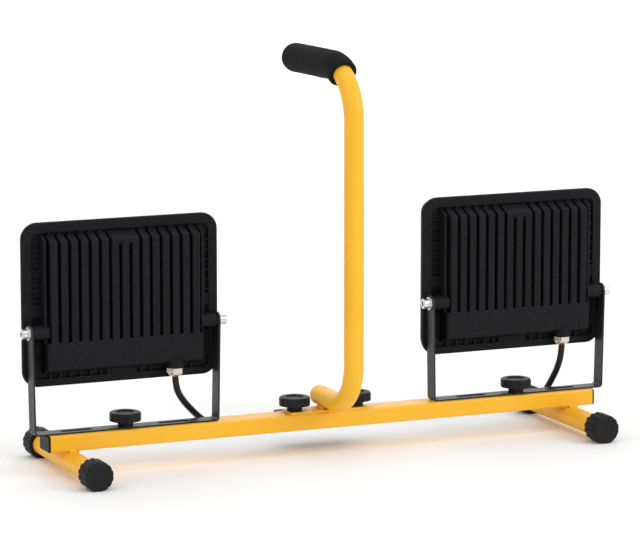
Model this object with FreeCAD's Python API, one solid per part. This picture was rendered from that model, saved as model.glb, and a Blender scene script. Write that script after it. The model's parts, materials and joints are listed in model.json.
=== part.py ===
"""Twin-lamp floor work light: an H-shaped tube stand with a carrying handle, and two
flood lamps that swivel and tilt on it.

Frame: millimetres, +Z up, feet on Z = 0, +X along the crossbar, the lamps shine towards +Y.
The origin is the centre of the stand's bounding box on the floor.
"""
import FreeCAD
import Part
import math
import os

V = FreeCAD.Vector
X_AXIS = V(1, 0, 0)
Y_AXIS = V(0, 1, 0)
Z_AXIS = V(0, 0, 1)

# ---------------------------------------------------------------- driving dimensions
# crossbar and its end plugs
BAR_LENGTH = 541.0
BAR_DEPTH = 25.0
BAR_HEIGHT = 15.0
BAR_WALL = 1.5
BAR_CORNER = 2.0
PLUG_FLANGE = 2.0
PLUG_INSERT = 14.0
PLUG_CLEARANCE = 0.05

# round legs under the crossbar, with rubber caps
LEG_DIAMETER = 19.0
TUBE_WALL = 1.5
LEG_SPACING = 499.0
LEG_BACK_REACH = 80.0       # bar centreline to the outer face of a back cap
LEG_FRONT_REACH = 88.0
CAP_DIAMETER = 27.0
CAP_LENGTH = 18.5
CAP_END = 4.0
CAP_FLUTES = 14
CAP_FLUTE_DEPTH = 0.9
CAP_FLUTE_RADIUS = 1.5
CAP_FLAT = 0.5              # the flat ground on the cap's underside
SADDLE_WIDTH = 9.0          # weld between a round tube and a flat face
LEG_SADDLE_LENGTH = 16.0
HANDLE_SADDLE_LENGTH = 10.0
HANDLE_WELD_GAP = 1.0       # the weld holds the handle this far off its plate

# handle: tube bent in the YZ plane on a plate
PLATE_LENGTH = 77.0
PLATE_DEPTH = 22.0
PLATE_THICKNESS = 2.0
HANDLE_DIAMETER = 18.0
HANDLE_SETBACK = 64.0       # from the post's axis to the crossbar's centreline
HANDLE_TAIL = 14.0          # end of the lower run, past the centreline
HANDLE_BEND_LOW = 40.0
HANDLE_BEND_HIGH = 48.0
HANDLE_TOP = 320.2          # the two upper runs' axes meet this far above the bar's top
HANDLE_DROOP = 0.8          # degrees that the grip run falls towards its tip
GRIP_TURN = 30.0            # degrees of the upper bend that the foam covers
GRIP_END = 79.5
GRIP_DIAMETER = 26.8
GRIP_TIP = 8.0              # foam beyond the end of the tube
GRIP_CLEARANCE = 0.05
GRIP_TIP_FLAT = 0.4
GRIP_LIP = 1.2
VENT_DIAMETER = 3.5
TAIL_PLUG_LENGTH = 8.0

# clamp knobs and their studs
KNOB_DIAMETER = 29.0
KNOB_HEIGHT = 12.9
KNOB_HUB_DIAMETER = 14.0
KNOB_HUB_HEIGHT = 4.9
KNOB_LOBES = 8
KNOB_LOBE_RADIUS = 8.0
KNOB_LOBE_DEPTH = 1.0
KNOB_TOP_ROUND = 2.2
KNOB_LOWER_ROUND = 0.7
KNOB_DISH_DIAMETER = 18.0
KNOB_DISH_DEPTH = 1.4
KNOB_GAP = 0.1
STUD_DIAMETER = 6.0
STUD_LENGTH = 12.0          # below the knob
STUD_IN_KNOB = 8.0
STUD_CLEARANCE = 0.25
STUD_FIT = 0.05
INSERT_DIAMETER = 9.0
INSERT_LENGTH = 11.0
INSERT_FLANGE = 12.5
INSERT_FLANGE_THICKNESS = 0.8
PLATE_KNOB_SPACING = 61.0

# U-brackets
LAMP_SPACING = 391.0
BRACKET_WIDTH = 176.0       # outside, at the bottom
BRACKET_SPLAY = 0.018       # outward lean of an arm, per unit of height
BRACKET_DEPTH = 15.0
BRACKET_THICKNESS = 1.5
BRACKET_BEND = 3.5
PIVOT_HEIGHT = 91.7         # pivot axis above the bar's top
SLOT_LENGTH = 30.0
SLOT_WIDTH = 6.5
SLOT_CENTRE = 46.5

# lamp housing, measured from the pivot axis
HEAD_WIDTH = 186.0
HEAD_BELOW = 50.5
HEAD_ABOVE = 97.0
HEAD_CORNER = 15.0
RIM_WIDTH = 9.0
RIM_LOWER = 7.0
RIM_BACK = 8.0              # Y of the rim's back face
RIM_EDGE = 1.6
PAN_DEPTH = 3.0             # the floor lies this far in front of the rim's back face
PAN_FLOOR = 2.2
HEAD_FRONT = 22.0
HEAD_TAPER_START = 12.0
HEAD_TAPER = 4.0
RIB_COUNT = 15
RIB_PITCH = 9.6
RIB_WIDTH = 6.8
RIB_TIP = -6.0              # Y of the rib backs
RIB_CHAMFER = 0.7
RIB_SLOPE = 6.7             # height that the sloped rib tops drop
SMALL_RIB_OUTER = 75.6
SMALL_RIB_WIDTH = 2.6
SMALL_RIB_TIP = -2.0
SMOOTH_RIBS = 3             # ribs under the smooth wedge at the top centre
BOX_TOP = -9.3
BOX_BOTTOM = -33.0
BOX_HALF = 74.6
BOX_WALL = 2.2
BOX_CORNER = 3.0
TEETH_COUNT = 15
TOOTH_WIDTH = 2.4
STRAKE_COUNT = 6
STRAKE_TOP = 73.5
STRAKE_PITCH = 9.05
STRAKE_THICKNESS = 1.3
PAD_LOW = 13.0
PAD_HIGH = 24.0
EAR_DIAMETER = 12.4
EAR_GAP = 0.35
EJECTOR_DIAMETER = 7.0

# lamp internals
WINDOW_MARGIN = 17.0        # rim's outer edge to the light chamber
GLASS_MARGIN = 9.5          # rim's outer edge to the glass
GLASS_THICKNESS = 4.0
GLASS_CORNER = 6.0
GLASS_GAP = 1.0
BOARD_THICKNESS = 1.6
BOARD_MARGIN = 3.0
REFLECTOR_THICKNESS = 1.0
LED_SIZE = 3.0
LED_HEIGHT = 0.7
LED_COLUMNS = 10
LED_ROWS = 6
LED_PITCH_X = 13.0
LED_PITCH_Z = 15.0
LED_WINDOW = 5.0
SCREW_DIAMETER = 3.0
SCREW_HEAD = 5.6
DRIVER_LENGTH = 120.0
DRIVER_HEIGHT = 16.0

# pivot bolts
BOLT_DIAMETER = 6.0
BOLT_HOLE = 6.5
BOLT_HEAD_DIAMETER = 9.4
BOLT_HEAD_HEIGHT = 4.6
BOLT_SOCKET = 4.0
WASHER_DIAMETER = 12.0
WASHER_THICKNESS = 1.2
SPRING_WASHER_DIAMETER = 9.6
SPRING_WASHER_THICKNESS = 1.5

# cable gland and lead
GLAND_X = 48.2              # to the +X side of a lamp's centre
GLAND_FLAT = 14.0
GLAND_HEX = 4.2
GLAND_DOME = 3.4
GLAND_THREAD = 9.0
GLAND_BOSS_BOTTOM = -40.6
CORD_DIAMETER = 6.0
CORD_GAP = 0.05

# junction box on the crossbar's front face
JUNCTION_LENGTH = 70.0
JUNCTION_DEPTH = 24.0
JUNCTION_TOP = -4.2         # below the bar's top
JUNCTION_BOTTOM = -18.8
JUNCTION_WALL = 1.8
JUNCTION_COVER = 2.0
COVER_SCREW_INSET = 11.0    # from an end of the junction box
CORD_ENTRY_Y = 19.2
CORD_ENTRY_Z = -10.8
GROMMET_DIAMETER = 9.0
GROMMET_FLANGE = 1.2
INLET_DIAMETER = 11.0
INLET_BORE = 8.0
INLET_Y = 30.0
INLET_LENGTH = 7.0
TERMINAL_LENGTH = 30.0
TERMINAL_DEPTH = 13.0
TERMINAL_HEIGHT = 9.0

# ---------------------------------------------------------------- derived levels
LEG_RADIUS = LEG_DIAMETER / 2
HANDLE_RADIUS = HANDLE_DIAMETER / 2
LEG_AXIS_Z = CAP_DIAMETER / 2 - CAP_FLAT
BAR_BOTTOM = LEG_AXIS_Z + LEG_RADIUS
BAR_TOP = BAR_BOTTOM + BAR_HEIGHT
BAR_HALF_DEPTH = BAR_DEPTH / 2
PIVOT_Z = BAR_TOP + PIVOT_HEIGHT
STRIP_TOP = BAR_TOP + BRACKET_THICKNESS
PLATE_TOP = BAR_TOP + PLATE_THICKNESS
LAMP_X = {"left": -LAMP_SPACING / 2, "right": LAMP_SPACING / 2}
BACK_FLOOR = RIM_BACK + PAN_DEPTH
INNER_FLOOR = BACK_FLOOR + PAN_FLOOR
ORIGIN_SHIFT = V(0, (LEG_BACK_REACH - max(LEG_FRONT_REACH, GRIP_END)) / 2, 0)

os.makedirs("parts", exist_ok=True)
nodes = {}


# ---------------------------------------------------------------- shape helpers
def block(x0, x1, y0, y1, z0, z1):
    return Part.makeBox(x1 - x0, y1 - y0, z1 - z0, V(x0, y0, z0))


def rod(diameter, start, axis, length):
    return Part.makeCylinder(diameter / 2, length, start, axis)


def ring(outer, inner, start, axis, length):
    return rod(outer, start, axis, length).cut(rod(inner, start, axis, length))


def fused(shapes):
    return shapes[0].multiFuse(shapes[1:]).removeSplitter()


def cut_all(shape, tools):
    return shape.cut(Part.makeCompound(tools))


def group(shapes):
    return shapes[0] if len(shapes) == 1 else Part.makeCompound(shapes)


def add(name, shape):
    nodes[name] = shape


def rounded_outline(x0, x1, z0, z1, radius, y):
    """A closed wire in the plane Y = y, with round corners."""
    k = radius * (1 - math.sqrt(0.5))
    corners = (
        (V(x0, y, z1 - radius), V(x0 + k, y, z1 - k), V(x0 + radius, y, z1)),
        (V(x1 - radius, y, z1), V(x1 - k, y, z1 - k), V(x1, y, z1 - radius)),
        (V(x1, y, z0 + radius), V(x1 - k, y, z0 + k), V(x1 - radius, y, z0)),
        (V(x0 + radius, y, z0), V(x0 + k, y, z0 + k), V(x0, y, z0 + radius)),
    )
    edges = []
    for i, (a, b, c) in enumerate(corners):
        edges.append(Part.Arc(a, b, c).toShape())
        edges.append(Part.LineSegment(c, corners[(i + 1) % 4][0]).toShape())
    return Part.Wire(edges)


def slab(x0, x1, z0, z1, radius, y0, y1):
    """A rounded rectangle in XZ, thick along Y."""
    return Part.Face(rounded_outline(x0, x1, z0, z1, radius, y0)).extrude(V(0, y1 - y0, 0))


def prism_x(points, x0, x1):
    """A polygon of (y, z) points, extruded along X."""
    corners = [V(x0, y, z) for y, z in points]
    return Part.Face(Part.makePolygon(corners + corners[:1])).extrude(V(x1 - x0, 0, 0))


def hexagon(flat, z0, height, x, y):
    radius = flat / math.sqrt(3)
    turns = [math.radians(60 * i) for i in range(6)]
    corners = [V(x + radius * math.cos(a), y + radius * math.sin(a), z0) for a in turns]
    return Part.Face(Part.makePolygon(corners + corners[:1])).extrude(V(0, 0, height))


def edges_where(shape, test):
    return [e for e in shape.Edges if test(e.BoundBox, e)]


def revolve_z(profile, x, y, z0):
    """A closed (radius, height) profile turned about a vertical axis."""
    corners = [V(x + r, y, z0 + h) for r, h in profile]
    face = Part.Face(Part.makePolygon(corners + corners[:1]))
    return face.revolve(V(x, y, z0), Z_AXIS, 360)


# ---------------------------------------------------------------- bent tubes and cords
def path_wire(points, radii):
    """Straight runs joined by tangent arcs, one radius for each inner point."""
    edges = []
    last = points[0]
    for i in range(1, len(points) - 1):
        corner = points[i]
        a = (points[i - 1] - corner).normalize()
        b = (points[i + 1] - corner).normalize()
        half_turn = (math.pi - a.getAngle(b)) / 2
        reach = radii[i - 1] * math.tan(half_turn)
        start = corner + a * reach
        end = corner + b * reach
        towards = (a + b).normalize()
        middle = corner + towards * (radii[i - 1] * (1 / math.cos(half_turn) - 1))
        edges.append(Part.LineSegment(last, start).toShape())
        edges.append(Part.Arc(start, middle, end).toShape())
        last = end
    edges.append(Part.LineSegment(last, points[-1]).toShape())
    return Part.Wire(edges)


def swept(wire, radius, start, direction):
    circle = Part.Wire(Part.makeCircle(radius, start, direction))
    return wire.makePipeShell([circle], True, False)


def cord_radii(points):
    """Arc radii as large as the runs on each side of a point allow."""
    radii = []
    for i in range(1, len(points) - 1):
        before = points[i - 1] - points[i]
        after = points[i + 1] - points[i]
        half_turn = (math.pi - before.getAngle(after)) / 2
        radii.append(0.45 * min(before.Length, after.Length) / math.tan(half_turn))
    return radii


def cord(name, route):
    """A lead: checks its volume against its section times its length."""
    points = [V(*p) for p in route]
    radii = cord_radii(points)
    wire = path_wire(points, radii)
    solid = swept(wire, CORD_DIAMETER / 2, points[0], points[1] - points[0])
    expected = math.pi * CORD_DIAMETER ** 2 / 4 * wire.Length
    print("%s: length %.1f, radii %s, volume / expected %.4f" % (
        name, wire.Length, [round(r, 1) for r in radii], solid.Volume / expected))
    add(name, solid)


# ---------------------------------------------------------------- stand
def make_crossbar():
    half = BAR_LENGTH / 2
    outer = block(-half, half, -BAR_HALF_DEPTH, BAR_HALF_DEPTH, BAR_BOTTOM, BAR_TOP)
    outer = outer.makeFillet(BAR_CORNER, edges_where(outer, lambda b, e: b.XLength > BAR_LENGTH / 2))
    inner = block(-half, half, BAR_WALL - BAR_HALF_DEPTH, BAR_HALF_DEPTH - BAR_WALL,
                  BAR_BOTTOM + BAR_WALL, BAR_TOP - BAR_WALL)
    holes = [inner]
    for x in knob_places():
        holes.append(rod(INSERT_DIAMETER, V(x, 0, BAR_TOP - BAR_WALL), Z_AXIS, BAR_WALL))
        holes.append(rod(INSERT_FLANGE, V(x, 0, BAR_TOP - INSERT_FLANGE_THICKNESS), Z_AXIS,
                         INSERT_FLANGE_THICKNESS))
    for x in junction_screw_places():
        holes.append(rod(SCREW_DIAMETER, V(x, BAR_HALF_DEPTH - BAR_WALL, BAR_TOP + CORD_ENTRY_Z),
                         Y_AXIS, BAR_WALL))
    add("crossbar", cut_all(outer, holes))


def knob_places():
    half_plate = PLATE_KNOB_SPACING / 2
    return (LAMP_X["left"], LAMP_X["right"], -half_plate, half_plate)


def junction_screw_places():
    return (-JUNCTION_LENGTH / 4, JUNCTION_LENGTH / 4)


def make_end_plugs():
    plugs = []
    for side in (-1, 1):
        face = side * BAR_LENGTH / 2
        x0, x1 = sorted((face, face + side * PLUG_FLANGE))
        flange = block(x0, x1, -BAR_HALF_DEPTH, BAR_HALF_DEPTH, BAR_BOTTOM, BAR_TOP)
        flange = flange.makeFillet(BAR_CORNER, edges_where(
            flange, lambda b, e: b.XLength > PLUG_FLANGE / 2))
        outer_x = face + side * PLUG_FLANGE
        flange = flange.makeChamfer(0.8, edges_where(
            flange, lambda b, e: b.XLength < 0.01 and abs(b.XMin - outer_x) < 0.01))
        gap = BAR_WALL + PLUG_CLEARANCE
        x0, x1 = sorted((face, face - side * PLUG_INSERT))
        insert = block(x0, x1, gap - BAR_HALF_DEPTH, BAR_HALF_DEPTH - gap, BAR_BOTTOM + gap, BAR_TOP - gap)
        hollow = block(x0 - 1, x1 + 1, gap + 2 - BAR_HALF_DEPTH, BAR_HALF_DEPTH - gap - 2,
                       BAR_BOTTOM + gap + 2, BAR_TOP - gap - 2)
        plugs.append(fused([flange, insert.cut(hollow)]))
    add("crossbar_end_plugs", group(plugs))


def make_legs():
    for side, name in ((-1, "left"), (1, "right")):
        x = side * LEG_SPACING / 2
        start = V(x, CAP_END - LEG_BACK_REACH, LEG_AXIS_Z)
        length = LEG_BACK_REACH + LEG_FRONT_REACH - 2 * CAP_END
        tube = rod(LEG_DIAMETER, start, Y_AXIS, length)
        saddle = block(x - SADDLE_WIDTH / 2, x + SADDLE_WIDTH / 2, -LEG_SADDLE_LENGTH / 2,
                       LEG_SADDLE_LENGTH / 2, BAR_BOTTOM - LEG_RADIUS / 2, BAR_BOTTOM)
        bore = rod(LEG_DIAMETER - 2 * TUBE_WALL, start, Y_AXIS, length)
        add("leg_tube_" + name, fused([tube, saddle]).cut(bore))
        add("foot_cap_%s_back" % name, foot_cap(x, -LEG_BACK_REACH))
        add("foot_cap_%s_front" % name, foot_cap(x, LEG_FRONT_REACH))


def foot_cap(x, outer_face):
    """A fluted rubber cap on one end of a leg, with a flat underneath."""
    end = math.copysign(1, outer_face)
    axis = V(0, -end, 0)
    tip = V(x, outer_face, LEG_AXIS_Z)
    body = rod(CAP_DIAMETER, tip, axis, CAP_LENGTH)
    body = body.makeFillet(1.4, edges_where(
        body, lambda b, e: b.YLength < 0.01 and abs(b.YMin - outer_face) < 0.01))
    tools = [rod(LEG_DIAMETER + 2 * PLUG_CLEARANCE, tip + axis * CAP_END, axis, CAP_LENGTH)]
    for i in range(CAP_FLUTES):
        turn = 2 * math.pi * (i + 0.5) / CAP_FLUTES - math.pi / 2
        offset = CAP_DIAMETER / 2 + CAP_FLUTE_RADIUS - CAP_FLUTE_DEPTH
        centre = tip + V(offset * math.cos(turn), 0, offset * math.sin(turn))
        tools.append(rod(2 * CAP_FLUTE_RADIUS, centre, axis, CAP_LENGTH))
    y0, y1 = sorted((outer_face, outer_face - end * CAP_LENGTH))
    tools.append(block(x - CAP_DIAMETER, x + CAP_DIAMETER, y0 - 1, y1 + 1, -CAP_DIAMETER, 0))
    return cut_all(body, tools)


def handle_points():
    """Corner points of the handle's centreline, in the plane X = 0."""
    low = PLATE_TOP + HANDLE_WELD_GAP + HANDLE_RADIUS
    top = BAR_TOP + HANDLE_TOP
    end = GRIP_END - GRIP_TIP
    drop = (end + HANDLE_SETBACK) * math.tan(math.radians(HANDLE_DROOP))
    return [V(0, HANDLE_TAIL, low), V(0, -HANDLE_SETBACK, low), V(0, -HANDLE_SETBACK, top),
            V(0, end, top - drop)]


def make_handle():
    points = handle_points()
    wire = path_wire(points, [HANDLE_BEND_LOW, HANDLE_BEND_HIGH])
    first_run = points[1] - points[0]
    outer = swept(wire, HANDLE_RADIUS, points[0], first_run)
    inner = swept(wire, HANDLE_RADIUS - TUBE_WALL, points[0], first_run)
    saddle = block(-SADDLE_WIDTH / 2, SADDLE_WIDTH / 2, -HANDLE_SADDLE_LENGTH / 2,
                   HANDLE_SADDLE_LENGTH / 2, PLATE_TOP, PLATE_TOP + HANDLE_RADIUS / 2)
    vent = rod(VENT_DIAMETER, V(0, 0, points[0].z), Z_AXIS, HANDLE_DIAMETER)
    add("handle_tube", fused([outer, saddle]).cut(Part.makeCompound([inner, vent])))

    plate = block(-PLATE_LENGTH / 2, PLATE_LENGTH / 2, -PLATE_DEPTH / 2, PLATE_DEPTH / 2,
                  BAR_TOP, PLATE_TOP)
    plate = plate.makeFillet(1.5, edges_where(plate, lambda b, e: b.ZLength > PLATE_THICKNESS / 2))
    holes = [rod(STUD_DIAMETER + 2 * STUD_CLEARANCE, V(side * PLATE_KNOB_SPACING / 2, 0, BAR_TOP),
                 Z_AXIS, PLATE_THICKNESS) for side in (-1, 1)]
    add("handle_base_plate", cut_all(plate, holes))

    plug_diameter = HANDLE_DIAMETER - 2 * TUBE_WALL - 2 * PLUG_CLEARANCE
    plug_start = HANDLE_TAIL - 0.5 - TAIL_PLUG_LENGTH
    plug = rod(plug_diameter, V(0, plug_start, points[0].z), Y_AXIS, TAIL_PLUG_LENGTH)
    cup = rod(plug_diameter - 4, V(0, plug_start, points[0].z), Y_AXIS, TAIL_PLUG_LENGTH - 2)
    add("handle_tail_plug", plug.cut(cup))
    make_grip(points)


def make_grip(points):
    """Foam sleeve from its round tip, along the top run and some way round the upper bend."""
    along = (points[3] - points[2]).normalize()
    tip = points[2] + along * ((GRIP_END + HANDLE_SETBACK) / along.y)
    inwards = V(0, along.z, -along.y)
    turn = math.pi / 2 - math.asin(along.z)
    bend_start = points[2] + along * (HANDLE_BEND_HIGH * math.tan(turn / 2))
    bend_centre = bend_start + inwards * HANDLE_BEND_HIGH

    def along_handle(radius, far_end):
        run = rod(2 * radius, bend_start, along, (far_end - bend_start).Length)
        section = Part.Face(Part.Wire(Part.makeCircle(radius, bend_start, along)))
        return run, section.revolve(bend_centre, X_AXIS, GRIP_TURN)

    run, bend = along_handle(GRIP_DIAMETER / 2, tip)
    run = run.makeFillet(GRIP_DIAMETER / 2 - GRIP_TIP_FLAT, edges_where(
        run, lambda b, e: (b.Center - tip).Length < 1))
    mouth = bend_centre - inwards * (HANDLE_BEND_HIGH * math.cos(math.radians(GRIP_TURN)))
    mouth = mouth - along * (HANDLE_BEND_HIGH * math.sin(math.radians(GRIP_TURN)))
    foam = run.fuse(bend)
    bore = Part.makeCompound(along_handle(HANDLE_RADIUS + GRIP_CLEARANCE, points[3] + along * 0.3))
    foam = foam.cut(bore).removeSplitter()
    foam = foam.makeFillet(GRIP_LIP, edges_where(foam, lambda b, e: (b.Center - mouth).Length < 2))
    add("foam_grip", foam)


# ---------------------------------------------------------------- knobs
def make_knob(name, x, seat):
    """A lobed clamp knob with its moulded-in stud; seat is the face that it clamps."""
    z0 = seat + KNOB_GAP
    hub = rod(KNOB_HUB_DIAMETER, V(x, 0, z0), Z_AXIS, KNOB_HUB_HEIGHT)
    disc = rod(KNOB_DIAMETER, V(x, 0, z0 + KNOB_HUB_HEIGHT), Z_AXIS, KNOB_HEIGHT - KNOB_HUB_HEIGHT)
    top = z0 + KNOB_HEIGHT
    disc = disc.makeFillet(KNOB_TOP_ROUND, edges_where(
        disc, lambda b, e: b.ZLength < 0.01 and b.ZMax > top - 0.01))
    disc = disc.makeFillet(KNOB_LOWER_ROUND, edges_where(
        disc, lambda b, e: b.ZLength < 0.01 and b.ZMax < z0 + KNOB_HUB_HEIGHT + 0.01))
    offset = KNOB_DIAMETER / 2 + KNOB_LOBE_RADIUS - KNOB_LOBE_DEPTH
    tools = []
    for i in range(KNOB_LOBES):
        turn = 2 * math.pi * (i + 0.5) / KNOB_LOBES
        centre = V(x + offset * math.cos(turn), offset * math.sin(turn), z0)
        tools.append(rod(2 * KNOB_LOBE_RADIUS, centre, Z_AXIS, KNOB_HEIGHT))
    disc = cut_all(disc, tools)
    dish = Part.makeCone(KNOB_DISH_DIAMETER / 2 - KNOB_DISH_DEPTH, KNOB_DISH_DIAMETER / 2,
                         KNOB_DISH_DEPTH, V(x, 0, top - KNOB_DISH_DEPTH), Z_AXIS)
    stud_hole = rod(STUD_DIAMETER, V(x, 0, z0), Z_AXIS, STUD_IN_KNOB)
    add(name, fused([hub, disc]).cut(Part.makeCompound([dish, stud_hole])))
    stud = rod(STUD_DIAMETER, V(x, 0, z0 - STUD_LENGTH), Z_AXIS, STUD_LENGTH + STUD_IN_KNOB)
    add(name.replace("knob", "stud"), stud.makeChamfer(0.8, edges_where(
        stud, lambda b, e: b.ZLength < 0.01 and b.ZMax < z0 - STUD_LENGTH + 0.1)))


def make_inserts():
    """Threaded inserts riveted in the crossbar's top wall, one for each stud."""
    inserts = []
    for x in knob_places():
        body = rod(INSERT_DIAMETER, V(x, 0, BAR_TOP - INSERT_LENGTH), Z_AXIS, INSERT_LENGTH)
        flange = rod(INSERT_FLANGE, V(x, 0, BAR_TOP - INSERT_FLANGE_THICKNESS), Z_AXIS,
                     INSERT_FLANGE_THICKNESS)
        bore = rod(STUD_DIAMETER + 2 * STUD_FIT, V(x, 0, BAR_TOP - INSERT_LENGTH), Z_AXIS, INSERT_LENGTH)
        inserts.append(fused([body, flange]).cut(bore))
    add("threaded_inserts", group(inserts))


# ---------------------------------------------------------------- U-bracket
def arm_outer(height):
    """Half the bracket's outside width at a height above the bar's top."""
    return BRACKET_WIDTH / 2 + BRACKET_SPLAY * height


def make_bracket(side):
    x = LAMP_X[side]
    arm_top = PIVOT_HEIGHT + BRACKET_DEPTH / 2
    lower = BRACKET_WIDTH / 2
    upper = arm_outer(arm_top)
    t = BRACKET_THICKNESS
    outline = [(-upper, arm_top), (-lower, 0), (lower, 0), (upper, arm_top),
               (upper - t, arm_top), (lower - t, t), (t - lower, t), (t - upper, arm_top)]
    corners = [V(x + px, -BRACKET_DEPTH / 2, BAR_TOP + pz) for px, pz in outline]
    strap = Part.Face(Part.makePolygon(corners + corners[:1])).extrude(V(0, BRACKET_DEPTH, 0))
    for radius, level in ((BRACKET_BEND, BAR_TOP), (BRACKET_BEND - t, STRIP_TOP)):
        strap = strap.makeFillet(radius, edges_where(
            strap, lambda b, e: b.YLength > BRACKET_DEPTH / 2 and abs(b.ZMax - level) < 0.01))
    strap = strap.makeFillet(BRACKET_DEPTH / 2 - 0.1, edges_where(
        strap, lambda b, e: b.YLength < 0.01 and b.ZMin > PIVOT_Z and b.XLength > t / 2
        and b.XLength < 2 * t))
    holes = [rod(BOLT_HOLE, V(x - upper - 5, 0, PIVOT_Z), X_AXIS, 2 * upper + 10),
             rod(STUD_DIAMETER + 2 * STUD_CLEARANCE, V(x, 0, BAR_TOP), Z_AXIS, t)]
    for sign in (-1, 1):
        centre = x + sign * SLOT_CENTRE
        half = (SLOT_LENGTH - SLOT_WIDTH) / 2
        holes.append(block(centre - half, centre + half, -SLOT_WIDTH / 2, SLOT_WIDTH / 2, BAR_TOP, STRIP_TOP))
        for end in (-half, half):
            holes.append(rod(SLOT_WIDTH, V(centre + end, 0, BAR_TOP), Z_AXIS, t))
    add("u_bracket_" + side, cut_all(strap, holes))


# ---------------------------------------------------------------- lamp housing
def head_slab(margin, y0, y1, x, corner=None):
    """A rounded slab that lies `margin` inside the housing's outline."""
    half = HEAD_WIDTH / 2 - margin
    radius = max(HEAD_CORNER - margin, 1.0) if corner is None else corner
    return slab(x - half, x + half, PIVOT_Z - HEAD_BELOW + margin, PIVOT_Z + HEAD_ABOVE - margin,
                radius, y0, y1)


def housing_shell(x):
    plate = head_slab(0, RIM_BACK, HEAD_TAPER_START, x)
    plate = plate.makeFillet(RIM_EDGE, edges_where(
        plate, lambda b, e: b.YLength < 0.01 and abs(b.YMin - RIM_BACK) < 0.01))
    half = HEAD_WIDTH / 2
    low = PIVOT_Z - HEAD_BELOW
    high = PIVOT_Z + HEAD_ABOVE
    back = rounded_outline(x - half, x + half, low, high, HEAD_CORNER, HEAD_TAPER_START)
    front = rounded_outline(x - half + HEAD_TAPER, x + half - HEAD_TAPER, low + HEAD_TAPER,
                            high - HEAD_TAPER, HEAD_CORNER - HEAD_TAPER, HEAD_FRONT)
    taper = Part.makeLoft([back, front], True, True)
    return fused([plate, taper])


def back_recess(x):
    """The pan sunk in the back of the rim, around the ribs."""
    half = HEAD_WIDTH / 2 - RIM_WIDTH
    return slab(x - half, x + half, PIVOT_Z - HEAD_BELOW + RIM_LOWER, PIVOT_Z + HEAD_ABOVE - RIM_WIDTH,
                6.0, RIM_BACK - 1, BACK_FLOOR)


def rib_top(y):
    """Height of the sloped rib tops at a depth Y."""
    share = (BACK_FLOOR - y) / (BACK_FLOOR - RIB_TIP)
    return PIVOT_Z + HEAD_ABOVE - RIM_WIDTH - 1.0 - RIB_SLOPE * share


def upright_rib(centre, width, tip):
    """A rib with chamfered back edges, cut to the slope at its top."""
    c = min(RIB_CHAMFER, width / 3)
    z0 = PIVOT_Z + BOX_TOP - 1
    half = width / 2
    outline = [(-half, BACK_FLOOR + 1), (-half, tip + c), (c - half, tip), (half - c, tip),
               (half, tip + c), (half, BACK_FLOOR + 1)]
    corners = [V(centre + px, py, z0) for px, py in outline]
    rib = Part.Face(Part.makePolygon(corners + corners[:1])).extrude(V(0, 0, HEAD_ABOVE))
    far = BACK_FLOOR + 2
    near = RIB_TIP - 2
    limit = prism_x([(near, z0), (near, rib_top(near)), (far, rib_top(far)), (far, z0)],
                    centre - width, centre + width)
    return rib.common(limit)


def rib_bank(x):
    ribs = []
    for i in range(RIB_COUNT):
        centre = x + (i - (RIB_COUNT - 1) / 2) * RIB_PITCH
        ribs.append(upright_rib(centre, RIB_WIDTH, RIB_TIP))
    for sign in (-1, 1):
        centre = x + sign * (SMALL_RIB_OUTER - SMALL_RIB_WIDTH / 2)
        ribs.append(upright_rib(centre, SMALL_RIB_WIDTH, SMALL_RIB_TIP))
    half = (SMOOTH_RIBS * RIB_PITCH + RIB_WIDTH - RIB_PITCH) / 2
    far = BACK_FLOOR + 1
    ribs.append(prism_x([(RIB_TIP + RIB_CHAMFER, rib_top(RIB_TIP + RIB_CHAMFER)), (far, rib_top(far)),
                         (far, rib_top(far) - 26), (RIB_TIP + RIB_CHAMFER, rib_top(RIB_TIP) - 3)],
                        x - half, x + half))
    return ribs


def driver_box(x):
    """The closed chamber below the ribs, open to the inside of the housing."""
    bottom = PIVOT_Z + BOX_BOTTOM
    top = PIVOT_Z + BOX_TOP
    profile = [(RIB_TIP, top), (RIB_TIP, bottom), (BACK_FLOOR + 1, bottom - RIB_SLOPE), (BACK_FLOOR + 1, top)]
    body = prism_x(profile, x - BOX_HALF, x + BOX_HALF)
    body = body.makeFillet(BOX_CORNER, edges_where(
        body, lambda b, e: b.XLength < 0.01 and b.YMax < BACK_FLOOR and b.ZLength > 5))
    return body.makeFillet(1.0, edges_where(
        body, lambda b, e: abs(b.YMin - RIB_TIP) < 0.01 and b.YLength < BOX_CORNER + 0.1
        and b.XLength > 1 and b.ZMin > top - 0.01))


def box_chamber(x):
    bottom = PIVOT_Z + BOX_BOTTOM
    top = PIVOT_Z + BOX_TOP - BOX_WALL
    back = RIB_TIP + BOX_WALL
    half = BOX_HALF - BOX_CORNER - 1
    return prism_x([(back, top), (back, bottom + 1.5), (INNER_FLOOR + 1, bottom + 1.5 - RIB_SLOPE),
                    (INNER_FLOOR + 1, top)], x - half, x + half)


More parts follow.
